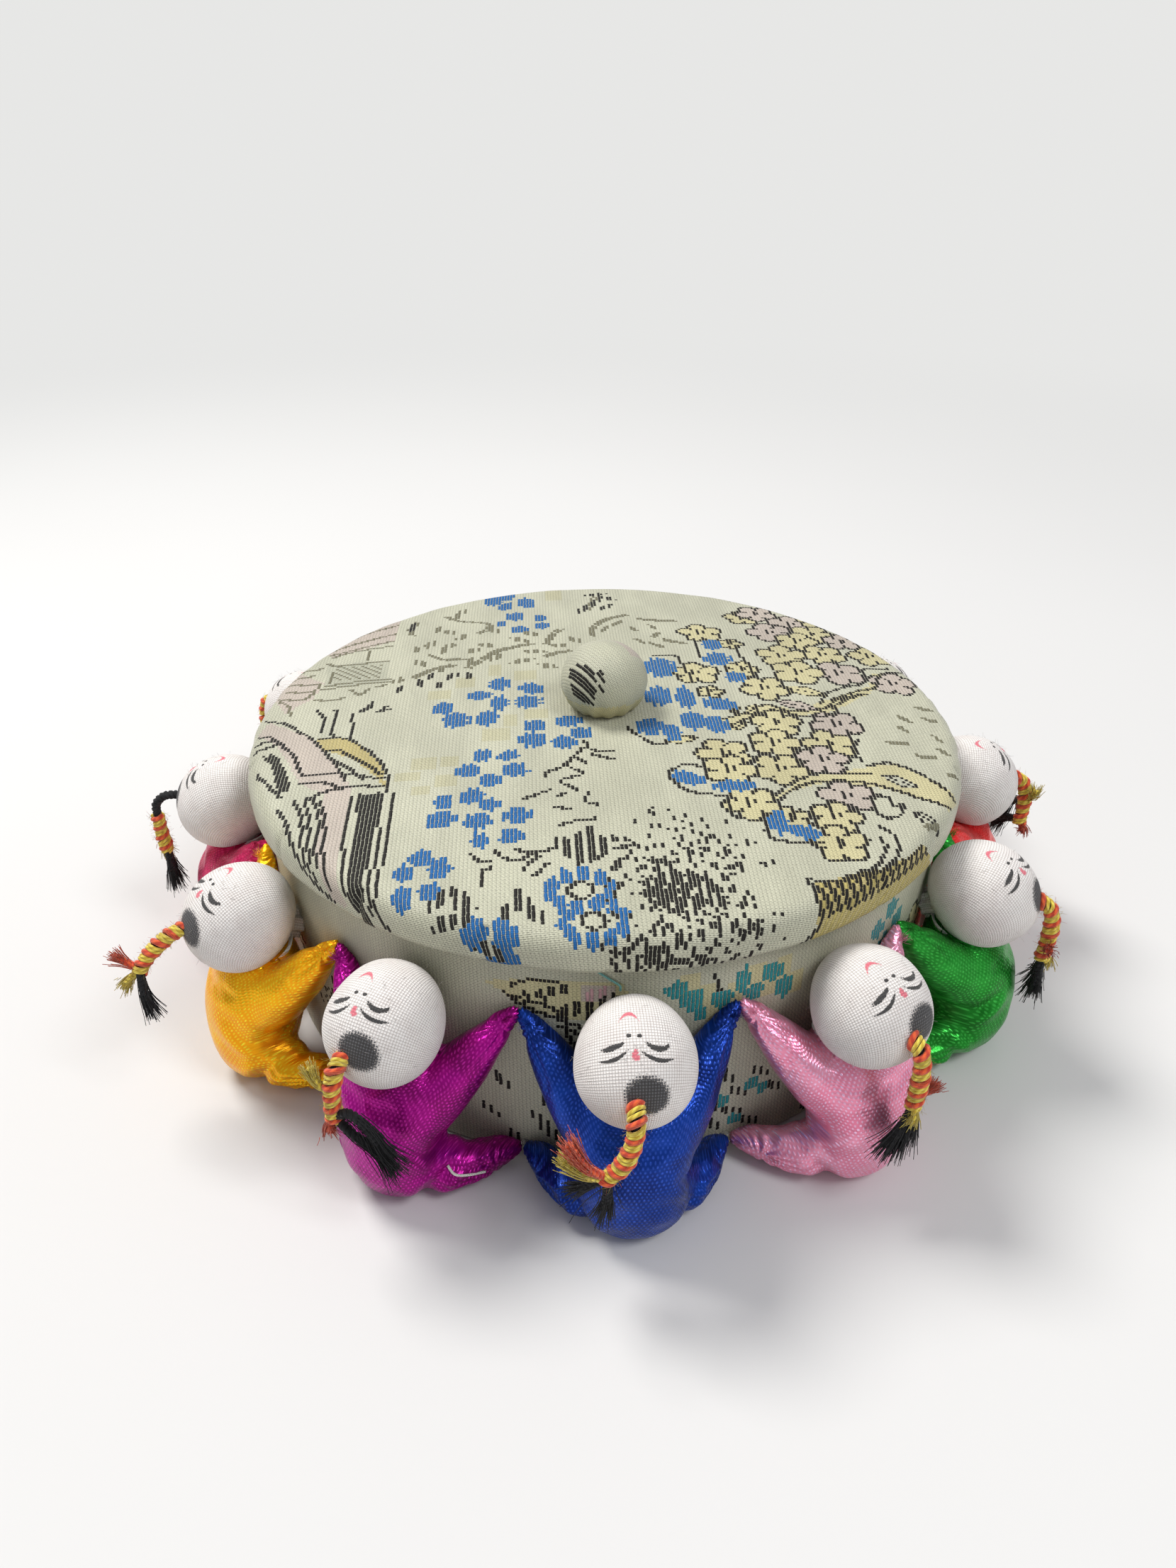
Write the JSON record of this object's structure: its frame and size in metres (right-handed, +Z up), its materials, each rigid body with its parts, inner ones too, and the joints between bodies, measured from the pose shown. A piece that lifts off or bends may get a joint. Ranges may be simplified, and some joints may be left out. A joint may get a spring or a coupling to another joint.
{
  "type": "round brocade box with dolls",
  "caption": "Round card box covered in brocade, with a padded lift-off lid, a covered ball knob and a ring of stuffed satin dolls glued round the wall.",
  "frame": {"origin": "centre of the underside, on the surface that the box stands on", "axes": "+Z is up along the box's axis; -Y points to the front, where doll_01 sits"},
  "size_m": [0.1713, 0.1647, 0.0601],
  "materials": {
    "brocade": "woven brocade, ivory ground with black, blue and gold floats",
    "lining_cloth": "plain satin lining",
    "card": "grey-brown card",
    "wadding": "loose white wadding",
    "bead_wood": "turned, unfinished",
    "thread": "twisted thread",
    "head_cotton": "plain-woven white cotton with painted features",
    "glue": "clear hot-melt glue",
    "yarn_black": "two-ply wool yarn",
    "yarn_yellow": "two-ply wool yarn",
    "yarn_red": "two-ply wool yarn",
    "satin_blue": "satin weave, glossy",
    "satin_pink": "satin weave, glossy",
    "satin_green": "satin weave, glossy",
    "satin_red": "satin weave, glossy",
    "satin_orange": "satin weave, glossy",
    "satin_crimson": "satin weave, glossy",
    "satin_yellow": "satin weave, glossy",
    "satin_purple": "satin weave, glossy"
  },
  "bodies": {
    "box": {"base_cover": "lining_cloth", "base_board": "card", "wall_board": "card", "wall_brocade": "brocade", "wall_lining": "lining_cloth", "floor_board": "card", "floor_pad": "lining_cloth", "doll_01_torso": "satin_blue", "doll_01_limbs": "satin_blue", "doll_01_head": "head_cotton", "doll_02_torso": "satin_pink", "doll_02_limbs": "satin_pink", "doll_02_head": "head_cotton", "doll_03_torso": "satin_green", "doll_03_limbs": "satin_green", "doll_03_head": "head_cotton", "doll_04_torso": "satin_red", "doll_04_limbs": "satin_red", "doll_04_head": "head_cotton", "doll_05_torso": "satin_yellow", "doll_05_limbs": "satin_yellow", "doll_05_head": "head_cotton", "doll_06_torso": "satin_blue", "doll_06_limbs": "satin_blue", "doll_06_head": "head_cotton", "doll_07_torso": "satin_pink", "doll_07_limbs": "satin_pink", "doll_07_head": "head_cotton", "doll_08_torso": "satin_green", "doll_08_limbs": "satin_green", "doll_08_head": "head_cotton", "doll_09_torso": "satin_orange", "doll_09_limbs": "satin_orange", "doll_09_head": "head_cotton", "doll_10_torso": "satin_crimson", "doll_10_limbs": "satin_crimson", "doll_10_head": "head_cotton", "doll_11_torso": "satin_yellow", "doll_11_limbs": "satin_yellow", "doll_11_head": "head_cotton", "doll_12_torso": "satin_purple", "doll_12_limbs": "satin_purple", "doll_12_head": "head_cotton", "head_fillings": "wadding", "torso_fillings": "wadding", "glue_drops": "glue", "queue_yarns": "yarn_black", "queue_bindings_yellow": "yarn_yellow", "queue_bindings_red": "yarn_red"},
    "lid": {"lid_board": "card", "lid_padding": "wadding", "lid_brocade": "brocade", "plug_board": "card", "plug_lining": "lining_cloth", "knob_bead": "bead_wood", "knob_cover": "brocade", "knob_thread": "thread"}
  },
  "joints": [
    {"name": "lid_lift", "type": "slide", "parent": "box", "child": "lid", "axis": [0, 0, 1], "range_m": [0, 0.08]}
  ]
}
